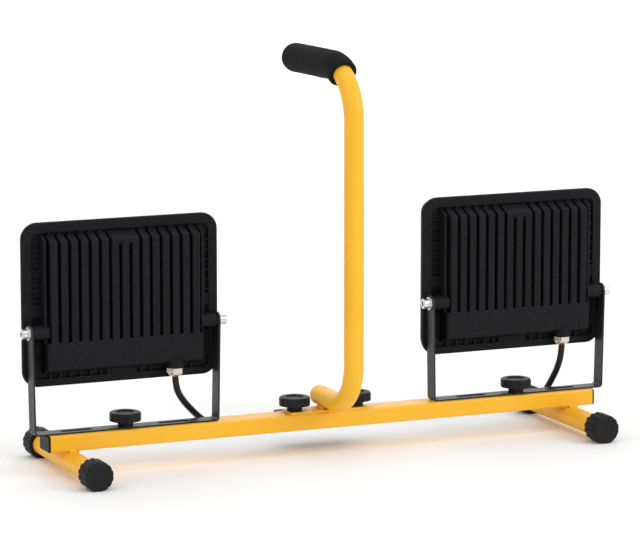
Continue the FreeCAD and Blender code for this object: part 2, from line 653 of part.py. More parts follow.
def side_details(x):
    """Strakes, pads and ears in the side recesses."""
    parts = []
    inner = SMALL_RIB_OUTER - 0.5
    outer = HEAD_WIDTH / 2 - RIM_WIDTH + 0.5
    for sign in (-1, 1):
        x0, x1 = sorted((x + sign * inner, x + sign * outer))
        for i in range(STRAKE_COUNT):
            z = PIVOT_Z + STRAKE_TOP - i * STRAKE_PITCH
            parts.append(block(x0, x1, RIM_BACK + 0.5, BACK_FLOOR + 0.5, z - STRAKE_THICKNESS, z))
        parts.append(block(x0, x1, RIM_BACK + 0.8, BACK_FLOOR + 0.5, PIVOT_Z + PAD_LOW, PIVOT_Z + PAD_HIGH))
        parts.append(block(x0, x1, RIM_BACK + 0.8, BACK_FLOOR + 0.5,
                           PIVOT_Z + BOX_BOTTOM, PIVOT_Z - EAR_DIAMETER / 2 - 3))
        reach = arm_outer(PIVOT_HEIGHT - EAR_DIAMETER / 2) - BRACKET_THICKNESS - EAR_GAP
        start = inner - 3
        a = x + sign * start
        ear = rod(EAR_DIAMETER, V(a, 0, PIVOT_Z), V(sign, 0, 0), reach - start)
        x0, x1 = sorted((a, x + sign * (HEAD_WIDTH / 2 - RIM_WIDTH - 1)))
        web = block(x0, x1, 0, BACK_FLOOR + 0.5, PIVOT_Z - EAR_DIAMETER / 2, PIVOT_Z + EAR_DIAMETER / 2)
        parts.extend([ear, web])
    return parts


def rim_teeth(x):
    """Short teeth that stand in the recess along the rim's top and bottom."""
    teeth = []
    for level, height in ((PIVOT_Z + HEAD_ABOVE - RIM_WIDTH, -3.5),
                          (PIVOT_Z - HEAD_BELOW + RIM_LOWER, 5.5)):
        z0, z1 = sorted((level - 0.3 * (1 if height > 0 else -1), level + height))
        for i in range(TEETH_COUNT):
            offset = (i - (TEETH_COUNT - 1) / 2) * RIB_PITCH
            if abs(offset) < RIB_PITCH * 1.2 or (height > 0 and abs(offset - GLAND_X) < 10):
                continue
            teeth.append(block(x + offset - TOOTH_WIDTH / 2, x + offset + TOOTH_WIDTH / 2,
                               RIM_BACK + 0.6, BACK_FLOOR + 0.5, z0, z1))
    return teeth


def make_housing(side):
    x = LAMP_X[side]
    shell = housing_shell(x).cut(back_recess(x))
    centre_boss = block(x - 14, x + 14, RIM_BACK + 0.4, BACK_FLOOR + 0.5,
                        PIVOT_Z - HEAD_BELOW + RIM_LOWER - 0.5, PIVOT_Z + BOX_BOTTOM)
    gland_boss = rod(GLAND_FLAT + 1.5, V(x + GLAND_X, 0, PIVOT_Z + GLAND_BOSS_BOTTOM), Z_AXIS,
                     BOX_BOTTOM + 2 - GLAND_BOSS_BOTTOM)
    body = fused([shell, driver_box(x), centre_boss, gland_boss]
                 + rib_bank(x) + side_details(x) + rim_teeth(x))
    chamber = head_slab(WINDOW_MARGIN, INNER_FLOOR, HEAD_FRONT + 1, x)
    glass_seat = head_slab(GLASS_MARGIN, HEAD_FRONT - GLASS_THICKNESS, HEAD_FRONT + 1, x, GLASS_CORNER)
    tools = [chamber, glass_seat, box_chamber(x)]
    tools.append(rod(GLAND_THREAD + 2 * PLUG_CLEARANCE, V(x + GLAND_X, 0, PIVOT_Z + GLAND_BOSS_BOTTOM - 1),
                     Z_AXIS, BOX_BOTTOM + 4 - GLAND_BOSS_BOTTOM))
    for sign in (-1, 1):
        start = x + sign * (SMALL_RIB_OUTER + 1)
        tools.append(rod(BOLT_DIAMETER, V(start, 0, PIVOT_Z), V(sign, 0, 0), HEAD_WIDTH))
    for px, pz in board_screw_places(x):
        tools.append(rod(SCREW_DIAMETER, V(px, INNER_FLOOR - 6, pz), Y_AXIS, 7))
    for px, pz in ((-54, 0.5), (-54, 58), (54, 57)):
        centre = V(x + px, RIB_TIP, PIVOT_Z + pz)
        tools.append(ring(EJECTOR_DIAMETER, EJECTOR_DIAMETER - 1.6, centre, Y_AXIS, 0.4))
    add("housing_" + side, cut_all(body, tools))


# ---------------------------------------------------------------- lamp internals
def board_half():
    return HEAD_WIDTH / 2 - WINDOW_MARGIN - BOARD_MARGIN


def board_levels():
    """Bottom and top of the LED board, which stands above the driver chamber."""
    return PIVOT_Z + BOX_TOP + 1.0, PIVOT_Z + HEAD_ABOVE - WINDOW_MARGIN - BOARD_MARGIN


def board_screw_places(x):
    low, high = board_levels()
    half = board_half() - 6
    return [(x + sx * half, z) for sx in (-1, 1) for z in (low + 6, high - 6)]


def led_places(x):
    low, high = board_levels()
    middle = (low + high) / 2
    places = []
    for row in range(LED_ROWS):
        for column in range(LED_COLUMNS):
            px = x + (column - (LED_COLUMNS - 1) / 2) * LED_PITCH_X
            places.append((px, middle + (row - (LED_ROWS - 1) / 2) * LED_PITCH_Z * 0.95))
    return places


def make_light_engine(side):
    x = LAMP_X[side]
    low, high = board_levels()
    half = board_half()
    front = INNER_FLOOR + BOARD_THICKNESS
    screws = board_screw_places(x)
    holes = [rod(SCREW_DIAMETER + 0.4, V(px, INNER_FLOOR, pz), Y_AXIS, BOARD_THICKNESS) for px, pz in screws]
    board = slab(x - half, x + half, low, high, 4, INNER_FLOOR, front)
    add("led_board_" + side, cut_all(board, holes))
    chips = [block(px - LED_SIZE / 2, px + LED_SIZE / 2, front, front + LED_HEIGHT,
                   pz - LED_SIZE / 2, pz + LED_SIZE / 2) for px, pz in led_places(x)]
    add("led_chips_" + side, group(chips))

    sheet_back = front + 0.02
    chamber = HEAD_WIDTH / 2 - WINDOW_MARGIN - 0.4
    bottom = PIVOT_Z - HEAD_BELOW + WINDOW_MARGIN + 0.4
    top = PIVOT_Z + HEAD_ABOVE - WINDOW_MARGIN - 0.4
    wall_end = HEAD_FRONT - GLASS_THICKNESS - 0.3
    tray = slab(x - chamber, x + chamber, bottom, top, 4, sheet_back, wall_end)
    hollow = slab(x - chamber + 1, x + chamber - 1, bottom + 1, top - 1, 3,
                  sheet_back + REFLECTOR_THICKNESS, wall_end + 1)
    windows = [block(px - LED_WINDOW / 2, px + LED_WINDOW / 2, sheet_back - 1, sheet_back + 2,
                     pz - LED_WINDOW / 2, pz + LED_WINDOW / 2) for px, pz in led_places(x)]
    heads = [rod(SCREW_HEAD + 0.6, V(px, sheet_back - 1, pz), Y_AXIS, 4) for px, pz in screws]
    add("reflector_" + side, cut_all(tray, [hollow] + windows + heads))

    parts = []
    for px, pz in screws:
        shank = rod(SCREW_DIAMETER - 0.1, V(px, INNER_FLOOR - 5, pz), Y_AXIS, 5 + BOARD_THICKNESS)
        head = rod(SCREW_HEAD, V(px, front, pz), Y_AXIS, 1.8)
        slot = block(px - 2, px + 2, front + 1, front + 3, pz - 0.4, pz + 0.4)
        cross = block(px - 0.4, px + 0.4, front + 1, front + 3, pz - 2, pz + 2)
        parts.append(fused([shank, head]).cut(Part.makeCompound([slot, cross])))
    add("board_screws_" + side, group(parts))

    glass = head_slab(GLASS_MARGIN + GLASS_GAP, HEAD_FRONT - GLASS_THICKNESS + 0.2, HEAD_FRONT, x,
                      GLASS_CORNER - GLASS_GAP)
    glass = glass.makeChamfer(0.4, edges_where(
        glass, lambda b, e: b.YLength < 0.01 and abs(b.YMin - HEAD_FRONT) < 0.01))
    add("front_glass_" + side, glass)
    bead = head_slab(GLASS_MARGIN + 0.02, HEAD_FRONT - GLASS_THICKNESS, HEAD_FRONT - 0.2, x, GLASS_CORNER)
    inside = head_slab(GLASS_MARGIN + GLASS_GAP, HEAD_FRONT - GLASS_THICKNESS - 1, HEAD_FRONT + 1, x,
                       GLASS_CORNER - GLASS_GAP)
    add("glass_seal_" + side, bead.cut(inside))

    make_driver(side, x)


def make_driver(side, x):
    """The driver board with its soldered parts, in the chamber below the ribs."""
    top = PIVOT_Z + BOX_TOP - BOX_WALL - 1.2
    back = RIB_TIP + BOX_WALL
    low = top - DRIVER_HEIGHT
    half = DRIVER_LENGTH / 2
    offset = x - 8
    parts = [block(offset - half, offset + half, back, back + 1.6, low, top)]
    for px, width, height, depth in ((-48, 12, 11, 9), (-30, 9, 9, 7), (-12, 16, 13, 10),
                                     (10, 7, 7, 8), (24, 7, 7, 8), (40, 11, 9, 5)):
        z = (low + top) / 2
        parts.append(block(offset + px - width / 2, offset + px + width / 2, back + 1.6,
                           back + 1.6 + depth, z - height / 2, z + height / 2))
    add("driver_board_" + side, fused(parts))


# ---------------------------------------------------------------- pivot hardware
def make_pivots(side):
    x = LAMP_X[side]
    bolts, washers, springs = [], [], []
    outer = arm_outer(PIVOT_HEIGHT + WASHER_DIAMETER / 2) + 0.05
    for sign in (-1, 1):
        axis = V(sign, 0, 0)
        washer_at = V(x + sign * outer, 0, PIVOT_Z)
        spring_at = washer_at + axis * WASHER_THICKNESS
        head_at = spring_at + axis * SPRING_WASHER_THICKNESS
        washers.append(ring(WASHER_DIAMETER, BOLT_DIAMETER + 0.4, washer_at, axis, WASHER_THICKNESS))
        spring = ring(SPRING_WASHER_DIAMETER, BOLT_DIAMETER + 0.4, spring_at, axis, SPRING_WASHER_THICKNESS)
        gap_x = sorted((spring_at.x, head_at.x))
        split = block(gap_x[0] - 1, gap_x[1] + 1, -0.5, 0.5, PIVOT_Z, PIVOT_Z + SPRING_WASHER_DIAMETER)
        springs.append(spring.cut(split))
        inner_end = x + sign * (SMALL_RIB_OUTER + 1)
        shank = rod(BOLT_DIAMETER - 0.02, V(inner_end, 0, PIVOT_Z), axis, abs(head_at.x - inner_end))
        head = rod(BOLT_HEAD_DIAMETER, head_at, axis, BOLT_HEAD_HEIGHT)
        far = head_at.x + sign * BOLT_HEAD_HEIGHT
        head = head.makeFillet(0.8, edges_where(
            head, lambda b, e: b.XLength < 0.01 and abs(b.XMin - far) < 0.01))
        turn = [math.radians(60 * i) for i in range(6)]
        radius = BOLT_SOCKET / math.sqrt(3)
        socket_x = far - sign * 2.6
        corners = [V(socket_x, radius * math.cos(a), PIVOT_Z + radius * math.sin(a)) for a in turn]
        socket = Part.Face(Part.makePolygon(corners + corners[:1])).extrude(axis * 4)
        bolts.append(fused([shank, head]).cut(socket))
    add("pivot_bolts_" + side, group(bolts))
    add("pivot_washers_" + side, group(washers))
    add("pivot_spring_washers_" + side, group(springs))


# ---------------------------------------------------------------- glands and leads
def gland_level():
    """Underside of a lamp's gland, where the lead comes out."""
    return PIVOT_Z + GLAND_BOSS_BOTTOM - GLAND_HEX - GLAND_DOME


def make_gland(side):
    x = LAMP_X[side] + GLAND_X
    seat = PIVOT_Z + GLAND_BOSS_BOTTOM
    bore = rod(CORD_DIAMETER + 2 * CORD_GAP, V(x, 0, seat - 20), Z_AXIS, 60)
    flange = hexagon(GLAND_FLAT, seat - 1.6, 1.6, x, 0)
    neck = rod(GLAND_THREAD, V(x, 0, seat - 2.6), Z_AXIS, BOX_BOTTOM + 5.4 - GLAND_BOSS_BOTTOM)
    add("gland_body_" + side, fused([flange, neck]).cut(bore))
    half = GLAND_FLAT / 2
    dome = revolve_z([(0, 0), (half * 0.62, 0), (half * 0.9, GLAND_DOME * 0.5), (half, GLAND_DOME),
                      (half, GLAND_DOME + 0.4), (0, GLAND_DOME + 0.4)], x, 0, gland_level())
    nut = hexagon(GLAND_FLAT, gland_level() + GLAND_DOME, GLAND_HEX - 1.65, x, 0)
    socket = rod(GLAND_THREAD + 0.04, V(x, 0, seat - 2.6), Z_AXIS, 5)
    add("gland_nut_" + side, fused([dome, nut]).cut(Part.makeCompound([bore, socket])))


def make_leads():
    """Each lamp's lead: from its gland over the bar's front edge, then along the bar.

    Points are given from the lamp's centre in X, the bar's centreline in Y and the bar's
    top in Z. A lead is two solids that meet end to end, beside the bracket.
    """
    exit_z = gland_level() - BAR_TOP
    entry = JUNCTION_LENGTH / 2 - LAMP_SPACING / 2
    routes = {
        ("left", "upper"): [(GLAND_X, 0, exit_z), (49.2, 0.8, 32.5), (55.0, 4.6, 22.5),
                            (65.0, 10.8, 11.5), (74.5, 15.8, 3.0)],
        ("left", "lower"): [(74.5, 15.8, 3.0), (81.15, 19.3, -2.95), (90.5, 20.4, -7.5),
                            (103.0, 18.4, -10.2), (122.0, 16.9, -10.9),
                            (143.0, CORD_ENTRY_Y, CORD_ENTRY_Z),
                            (-entry, CORD_ENTRY_Y, CORD_ENTRY_Z)],
        ("right", "upper"): [(GLAND_X, 0, exit_z), (48.0, 0.9, 33.0), (47.0, 5.2, 21.0),
                             (45.6, 11.0, 11.0), (43.6, 16.0, 2.5)],
        ("right", "lower"): [(43.6, 16.0, 2.5), (42.2, 19.5, -3.45), (38.0, 21.6, -9.2),
                             (31.5, 21.9, -12.9), (22.0, 20.6, -14.6), (0.0, 17.6, -13.4),
                             (-58.0, 16.1, -11.4), (-105.0, 16.6, -10.9),
                             (-142.0, CORD_ENTRY_Y, CORD_ENTRY_Z),
                             (entry, CORD_ENTRY_Y, CORD_ENTRY_Z)],
    }
    for (side, part), route in routes.items():
        points = [(LAMP_X[side] + px, py, BAR_TOP + pz) for px, py, pz in route]
        cord("lead_%s_%s" % (side, part), points)


# ---------------------------------------------------------------- junction box
def pan_screw(seat):
    """A short slotted screw along Y; seat is the point under its head."""
    shank = rod(SCREW_DIAMETER - 0.1, seat - Y_AXIS * 7, Y_AXIS, 7)
    head = rod(SCREW_HEAD, seat, Y_AXIS, 1.6)
    head = head.makeFillet(0.7, edges_where(head, lambda b, e: b.YLength < 0.01 and b.YMin > seat.y + 1))
    slot = block(seat.x - 3, seat.x + 3, seat.y + 0.9, seat.y + 3, seat.z - 0.35, seat.z + 0.35)
    return fused([shank, head]).cut(slot)


def make_junction():
    half = JUNCTION_LENGTH / 2
    top = BAR_TOP + JUNCTION_TOP
    bottom = BAR_TOP + JUNCTION_BOTTOM
    back = BAR_HALF_DEPTH
    front = back + JUNCTION_DEPTH
    w = JUNCTION_WALL
    entry_z = BAR_TOP + CORD_ENTRY_Z
    base = block(-half, half, back, front, bottom, top)
    base = base.makeFillet(2.0, edges_where(base, lambda b, e: b.YLength > JUNCTION_DEPTH / 2))
    tools = [block(w - half, half - w, back + w, front + 1, bottom + w, top - w)]
    for sign in (-1, 1):
        tools.append(rod(GROMMET_DIAMETER - 1.6, V(sign * (half - w - 1), CORD_ENTRY_Y, entry_z),
                         V(sign, 0, 0), 2 * w + 2))
    tools.append(rod(INLET_DIAMETER - 2.0, V(half - w - 1, INLET_Y, entry_z), X_AXIS, 2 * w + 2))
    posts = []
    for sx in (-1, 1):
        px = sx * (half - COVER_SCREW_INSET)
        posts.append(rod(5.0, V(px, back + w, bottom + w + 1.9), Y_AXIS, JUNCTION_DEPTH - w))
        tools.append(rod(SCREW_DIAMETER, V(px, front - 8, bottom + w + 1.9), Y_AXIS, 9))
    for x in junction_screw_places():
        tools.append(rod(SCREW_DIAMETER + 0.4, V(x, back - 1, entry_z), Y_AXIS, w + 2))
    base = base.cut(tools[0])
    add("junction_box", fused([base] + posts).cut(Part.makeCompound(tools[1:])))

    cover = block(-half, half, front + 0.02, front + JUNCTION_COVER, bottom, top)
    cover = cover.makeFillet(2.0, edges_where(cover, lambda b, e: b.YLength > JUNCTION_COVER / 2))
    holes, screws = [], []
    for sx in (-1, 1):
        at = V(sx * (half - COVER_SCREW_INSET), front + JUNCTION_COVER, bottom + w + 1.9)
        holes.append(rod(SCREW_DIAMETER + 0.4, at - Y_AXIS * 5, Y_AXIS, 6))
        screws.append(pan_screw(at))
    for x in junction_screw_places():
        screws.append(pan_screw(V(x, back + w, entry_z)))
    add("junction_cover", cut_all(cover, holes))
    add("junction_screws", group(screws))

    grommets = []
    for sign in (-1, 1):
        axis = V(sign, 0, 0)
        at = V(sign * half, CORD_ENTRY_Y, entry_z)
        flange = rod(GROMMET_DIAMETER, at, axis, GROMMET_FLANGE)
        inside = rod(GROMMET_DIAMETER, at - axis * (w + GROMMET_FLANGE), axis, GROMMET_FLANGE)
        neck = rod(GROMMET_DIAMETER - 1.7, at - axis * (w + 0.5), axis, w + 1)
        bore = rod(CORD_DIAMETER + 2 * CORD_GAP, at - axis * 6, axis, 8)
        grommets.append(fused([flange, inside, neck]).cut(bore))
    add("junction_grommets", group(grommets))

    at = V(half, INLET_Y, entry_z)
    collar = rod(INLET_DIAMETER, at, X_AXIS, INLET_LENGTH)
    collar = collar.makeFillet(1.0, edges_where(
        collar, lambda b, e: b.XLength < 0.01 and b.XMin > half + 1))
    neck = rod(INLET_DIAMETER - 2.1, at - X_AXIS * (w + 2), X_AXIS, w + 3)
    bore = rod(INLET_BORE, at - X_AXIS * 10, X_AXIS, 30)
    add("mains_inlet_bush", fused([collar, neck]).cut(bore))

    middle_y = back + w + TERMINAL_DEPTH / 2 + 1.7
    strip = block(-TERMINAL_LENGTH / 2, TERMINAL_LENGTH / 2, back + w + 1.7, back + w + 1.7 + TERMINAL_DEPTH,
                  bottom + w, bottom + w + TERMINAL_HEIGHT)
    wells, pins = [], []
    for i in (-1, 0, 1):
        for row in (-1, 1):
            at = V(i * 9.5, middle_y + row * 3.6, bottom + w + 2)
            wells.append(rod(4.0, at, Z_AXIS, 20))
            pins.append(rod(3.6, at, Z_AXIS, 4.5))
    add("terminal_block", cut_all(strip, wells))
    add("terminal_screws", group(pins))


# ---------------------------------------------------------------- build
def build():
    make_crossbar()
    make_end_plugs()
    make_legs()
    make_handle()
    make_inserts()
    for sign, side in ((-1, "left"), (1, "right")):
        make_knob("bracket_knob_" + side, LAMP_X[side], STRIP_TOP)
        make_knob("handle_knob_" + side, sign * PLATE_KNOB_SPACING / 2, PLATE_TOP)
        make_bracket(side)
        make_housing(side)
        make_light_engine(side)
        make_pivots(side)
        make_gland(side)
    make_leads()
    make_junction()
    for name, shape in nodes.items():
        shape.translate(ORIGIN_SHIFT)
        for solid in shape.Solids:
            if not solid.isValid():
                print("not valid:", name)
        shape.exportStep("parts/%s.step" % name)
    print(len(nodes), "nodes")


build()
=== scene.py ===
"""Looks of the twin-lamp work light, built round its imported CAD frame.

Metres, in the row frame: +X along the crossbar, +Y the way the lamps shine, feet on Z = 0.
"""
import json
import math

import bpy
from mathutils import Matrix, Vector, noise


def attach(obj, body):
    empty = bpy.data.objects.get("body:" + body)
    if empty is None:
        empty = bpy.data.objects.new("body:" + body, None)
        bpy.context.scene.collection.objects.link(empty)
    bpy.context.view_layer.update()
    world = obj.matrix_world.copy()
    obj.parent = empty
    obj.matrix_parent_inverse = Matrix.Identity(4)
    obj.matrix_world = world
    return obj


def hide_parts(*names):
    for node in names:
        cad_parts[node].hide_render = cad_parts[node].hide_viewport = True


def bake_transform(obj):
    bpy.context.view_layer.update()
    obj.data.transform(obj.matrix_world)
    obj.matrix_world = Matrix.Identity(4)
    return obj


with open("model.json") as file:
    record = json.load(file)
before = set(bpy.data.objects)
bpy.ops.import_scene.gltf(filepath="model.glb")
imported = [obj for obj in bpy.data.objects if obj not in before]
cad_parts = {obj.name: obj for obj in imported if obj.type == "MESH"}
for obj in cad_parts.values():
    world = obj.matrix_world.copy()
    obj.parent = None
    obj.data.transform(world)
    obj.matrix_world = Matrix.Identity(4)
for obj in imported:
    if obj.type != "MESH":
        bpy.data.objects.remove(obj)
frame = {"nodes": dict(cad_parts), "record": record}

MM = 0.001
X_AXIS = Vector((1, 0, 0))

# ---------------------------------------------------------------- sizes repeated from the CAD source
BAR_Y = -4.0 * MM               # the crossbar's centreline
BAR_TOP = 37.5 * MM
BAR_BOTTOM = 22.5 * MM
LAMP_X = {"left": -195.5 * MM, "right": 195.5 * MM}
LEG_X = 249.5 * MM
CORD_DIAMETER = 6.0 * MM
HANDLE_SETBACK = 64.0 * MM
HANDLE_TOP = BAR_TOP + 320.2 * MM
HANDLE_DROOP = math.radians(0.8)
BEND_RADIUS = 48.0 * MM
PLATE_TOP = 39.5 * MM
GRIP_END = 79.5 * MM            # tip of the foam, in front of the crossbar's centreline
GRIP_RADIUS = 13.4 * MM
GRIP_BORE = 9.05 * MM
GRIP_TIP = 7.7 * MM             # foam in front of the tube's end
GRIP_TURN = math.radians(30.0)
GRIP_LIP = 1.2 * MM
GRIP_TIP_FLAT = 0.4 * MM

# ---------------------------------------------------------------- camera
CAMERA_AT = (-1.2903, -2.9443, 0.6960)
CAMERA_TURN = (math.radians(80.67), 0.0, math.radians(-23.61))
CAMERA_LENS = 200.7

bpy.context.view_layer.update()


def linked(name, data):
    obj = bpy.data.objects.new(name, data)
    bpy.context.scene.collection.objects.link(obj)
    return obj


def make_camera():
    data = bpy.data.cameras.new("camera")
    data.lens = CAMERA_LENS
    data.sensor_width = 36.0
    data.clip_start = 0.1
    data.clip_end = 60.0
    camera = linked("camera", data)
    camera.location = CAMERA_AT
    camera.rotation_euler = CAMERA_TURN
    bpy.context.scene.camera = camera


# ---------------------------------------------------------------- mesh helpers
def mesh_object(name, rings):
    """A closed skin over rings that all have the same number of points, with a fan at each end."""
    count = len(rings[0])
    vertices = [point for ring in rings for point in ring]
    faces = []
    for i in range(len(rings) - 1):
        low, high = i * count, (i + 1) * count
        for j in range(count):
            k = (j + 1) % count
            faces.append((low + j, low + k, high + k, high + j))
    for first, ring in ((0, rings[0]), ((len(rings) - 1) * count, rings[-1])):
        hub = len(vertices)
        vertices.append(sum(ring, Vector()) / count)
        for j in range(count):
            k = (j + 1) % count
            faces.append((first + k, first + j, hub) if first == 0 else (first + j, first + k, hub))
    mesh = bpy.data.meshes.new(name)
    mesh.from_pydata(vertices, [], faces)
    mesh.update()
    for polygon in mesh.polygons:
        polygon.use_smooth = True
    return linked(name, mesh)


def circle(centre, across, up, radius, count):
    """Points of a circle, in the plane of the two directions."""
    turns = [2 * math.pi * i / count for i in range(count)]
    return [centre + across * (radius * math.cos(a)) + up * (radius * math.sin(a)) for a in turns]


LINE_STEPS = 16                 # of a spline between two of its points


def nurbs_line(name, points):
    """The smooth line of a route, read from its NURBS spline."""
    curve = bpy.data.curves.new(name, "CURVE")
    curve.dimensions = "3D"
    curve.resolution_u = LINE_STEPS
    spline = curve.splines.new("NURBS")
    spline.points.add(len(points) - 1)
    for control, point in zip(spline.points, points):
        control.co = (*point, 1.0)
    spline.order_u = 3
    spline.use_endpoint_u = True
    holder = bpy.data.objects.new(name, curve)
    mesh = bpy.data.meshes.new_from_object(holder)
    line = [vertex.co.copy() for vertex in mesh.vertices]
    bpy.data.objects.remove(holder)
    bpy.data.curves.remove(curve)
    bpy.data.meshes.remove(mesh)
    return line


TUBE_SIDES = 24


def tube_along(name, line, radius, count=TUBE_SIDES):
    """A round tube along a line; radius is a function of the share of the line's length."""
    tangents = []
    for i in range(len(line)):
        tangents.append((line[min(i + 1, len(line) - 1)] - line[max(i - 1, 0)]).normalized())
    up = tangents[0].orthogonal().normalized()
    rings = []
    for i, point in enumerate(line):
        up = (up - tangents[i] * up.dot(tangents[i])).normalized()
        across = up.cross(tangents[i])
        rings.append(circle(point, across, up, radius(i / (len(line) - 1)), count))
    return mesh_object(name, rings)


# ---------------------------------------------------------------- leads
# Points from the lamp's centre in X, the crossbar's centreline in Y and its top in Z, in mm.
LEAD_ROUTES = {
    "lead_left_upper": ((48.2, 0.0, 43.5), (49.2, 0.8, 32.5), (55.0, 4.6, 22.5), (65.0, 10.8, 11.5),
                        (74.5, 15.8, 3.0)),
    "lead_left_lower": ((74.5, 15.8, 3.0), (81.15, 19.3, -2.95), (90.5, 20.4, -7.5), (103.0, 18.4, -10.2),
                        (122.0, 16.9, -10.9), (143.0, 19.2, -10.8), (160.5, 19.2, -10.8)),
    "lead_right_upper": ((48.2, 0.0, 43.5), (48.0, 0.9, 33.0), (47.0, 5.2, 21.0), (45.6, 11.0, 11.0),
                         (43.6, 16.0, 2.5)),
    "lead_right_lower": ((43.6, 16.0, 2.5), (42.2, 19.5, -3.45), (38.0, 21.6, -9.2), (31.5, 21.9, -12.9),
                         (22.0, 20.6, -14.6), (0.0, 17.6, -13.4), (-58.0, 16.1, -11.4),
                         (-105.0, 16.6, -10.9), (-142.0, 19.2, -10.8), (-160.5, 19.2, -10.8)),
}


def make_leads(material):
    for name, route in LEAD_ROUTES.items():
        side, half = name.split("_")[1:]
        points = [Vector((LAMP_X[side] + x * MM, BAR_Y + y * MM, BAR_TOP + z * MM)) for x, y, z in route]
        line = nurbs_line(name, points)
        lead = tube_along(name + "_cord", line, lambda share: CORD_DIAMETER / 2)
        lead.data.materials.append(material)
        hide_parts(name)
        if half == "upper":
            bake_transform(lead)
        else:
            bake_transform(lead)


# ---------------------------------------------------------------- materials
MIX_FACTOR, COLOUR_A, COLOUR_B, COLOUR_RESULT = 0, 6, 7, 2  # sockets of a colour Mix node


class Surface:
    """A material with one Principled shader, fed by patterns in the object's own coordinates."""

    def __init__(self, name, **sockets):
        self.material = bpy.data.materials.new(name)
        self.material.use_nodes = True
        self.tree = self.material.node_tree
        self.shader = self.tree.nodes["Principled BSDF"]
        for socket, value in sockets.items():
            self.shader.inputs[socket.replace("_", " ")].default_value = value
        self.place = self.tree.nodes.new("ShaderNodeTexCoord").outputs["Object"]
        self.normal = None

    def feed(self, node, **inputs):
        """Links or sets a node's sockets by name."""
        for socket, value in inputs.items():
            target = node.inputs[socket.replace("_", " ")]
            if isinstance(value, bpy.types.NodeSocket):
                self.tree.links.new(value, target)
            else:
                target.default_value = value
        return node

    def noise(self, size, detail=2.0, roughness=0.5):
        """Soft blotches of about that size in metres, from 0 to 1."""
        node = self.tree.nodes.new("ShaderNodeTexNoise")
        self.feed(node, Vector=self.place, Scale=1 / size, Detail=detail, Roughness=roughness)
        return node.outputs["Fac"]

    def cells(self, size):
        """Distance from the middle of round cells of about that size."""
        node = self.tree.nodes.new("ShaderNodeTexVoronoi")
        self.feed(node, Vector=self.place, Scale=1 / size)
        return node.outputs["Distance"]

    def rescale(self, value, low, high, start=0.0, end=1.0):
        """The value's range low..high spread over start..end."""
        node = self.tree.nodes.new("ShaderNodeMapRange")
        self.feed(node, Value=value, From_Min=low, From_Max=high, To_Min=start, To_Max=end)
        return node.outputs["Result"]

    def colours(self, value, low, high):
        """A colour between two, by a value from 0 to 1."""
        node = self.tree.nodes.new("ShaderNodeMix")
        node.data_type = "RGBA"
        self.tree.links.new(value, node.inputs[MIX_FACTOR])
        node.inputs[COLOUR_A].default_value = (*low, 1.0)
        node.inputs[COLOUR_B].default_value = (*high, 1.0)
        return node.outputs[COLOUR_RESULT]

    def bump(self, height, distance, strength):
        """Relief that is added to what earlier calls gave."""
        node = self.tree.nodes.new("ShaderNodeBump")
        self.feed(node, Height=height, Distance=distance, Strength=strength)
        if self.normal is not None:
            self.tree.links.new(self.normal, node.inputs["Normal"])
        self.normal = node.outputs["Normal"]

    def finish(self, colour, rough):
        """The material, with its colour, roughness and relief linked."""
        self.tree.links.new(colour, self.shader.inputs["Base Color"])
        self.tree.links.new(rough, self.shader.inputs["Roughness"])
        if self.normal is not None:
            self.tree.links.new(self.normal, self.shader.inputs["Normal"])
        return self.material


def yellow_powder_coat():
    s = Surface("yellow_powder_coat", Specular_IOR_Level=0.35)
    s.bump(s.noise(1.5 * MM, 2.0), 0.035 * MM, 0.7)
    s.bump(s.noise(0.4 * MM, 1.0), 0.01 * MM, 0.5)
    tone = s.rescale(s.noise(55 * MM, 3.0), 0.3, 0.7)
    return s.finish(s.colours(tone, (0.92, 0.470, 0.018), (0.96, 0.510, 0.027)),
                    s.rescale(s.noise(6 * MM, 3.0), 0.3, 0.7, 0.30, 0.40))


def black_powder_coat():
    s = Surface("black_powder_coat", Specular_IOR_Level=0.34)
    s.bump(s.noise(0.8 * MM, 3.0, 0.6), 0.05 * MM, 0.8)
    tone = s.rescale(s.noise(18 * MM, 4.0), 0.3, 0.7)
    return s.finish(s.colours(tone, (0.012, 0.012, 0.013), (0.021, 0.021, 0.023)),
                    s.rescale(s.noise(3 * MM, 3.0), 0.3, 0.7, 0.36, 0.48))


def cast_aluminium():
    s = Surface("cast_aluminium_coated_black", Specular_IOR_Level=0.13)
    s.bump(s.noise(1.1 * MM, 4.0, 0.65), 0.11 * MM, 0.9)
    s.bump(s.noise(14 * MM, 2.0), 0.25 * MM, 0.5)
    specks = s.rescale(s.noise(1.6 * MM, 3.0, 0.7), 0.35, 0.75)
    return s.finish(s.colours(specks, (0.005, 0.005, 0.0060), (0.014, 0.014, 0.0165)),
                    s.rescale(s.noise(5 * MM, 4.0), 0.3, 0.7, 0.50, 0.64))


def cap_rubber():
    s = Surface("cap_rubber", Specular_IOR_Level=0.2)
    s.bump(s.noise(0.7 * MM, 3.0, 0.6), 0.05 * MM, 0.7)
    s.bump(s.noise(7 * MM, 2.0), 0.15 * MM, 0.4)
    tone = s.rescale(s.noise(9 * MM, 4.0), 0.3, 0.7)
    return s.finish(s.colours(tone, (0.007, 0.007, 0.0075), (0.014, 0.014, 0.015)),
                    s.rescale(s.noise(4 * MM, 3.0), 0.3, 0.7, 0.50, 0.66))


def grip_foam():
    s = Surface("grip_foam", Specular_IOR_Level=0.12)
    pores = s.rescale(s.cells(0.9 * MM), 0.05, 0.6)
    s.bump(pores, 0.16 * MM, 0.8)
    s.bump(s.noise(0.35 * MM, 2.0, 0.6), 0.07 * MM, 0.8)
    tone = s.rescale(s.noise(1.3 * MM, 4.0, 0.7), 0.3, 0.7)
    return s.finish(s.colours(tone, (0.006, 0.006, 0.0065), (0.015, 0.015, 0.0155)),
                    s.rescale(pores, 0.0, 1.0, 0.72, 0.90))


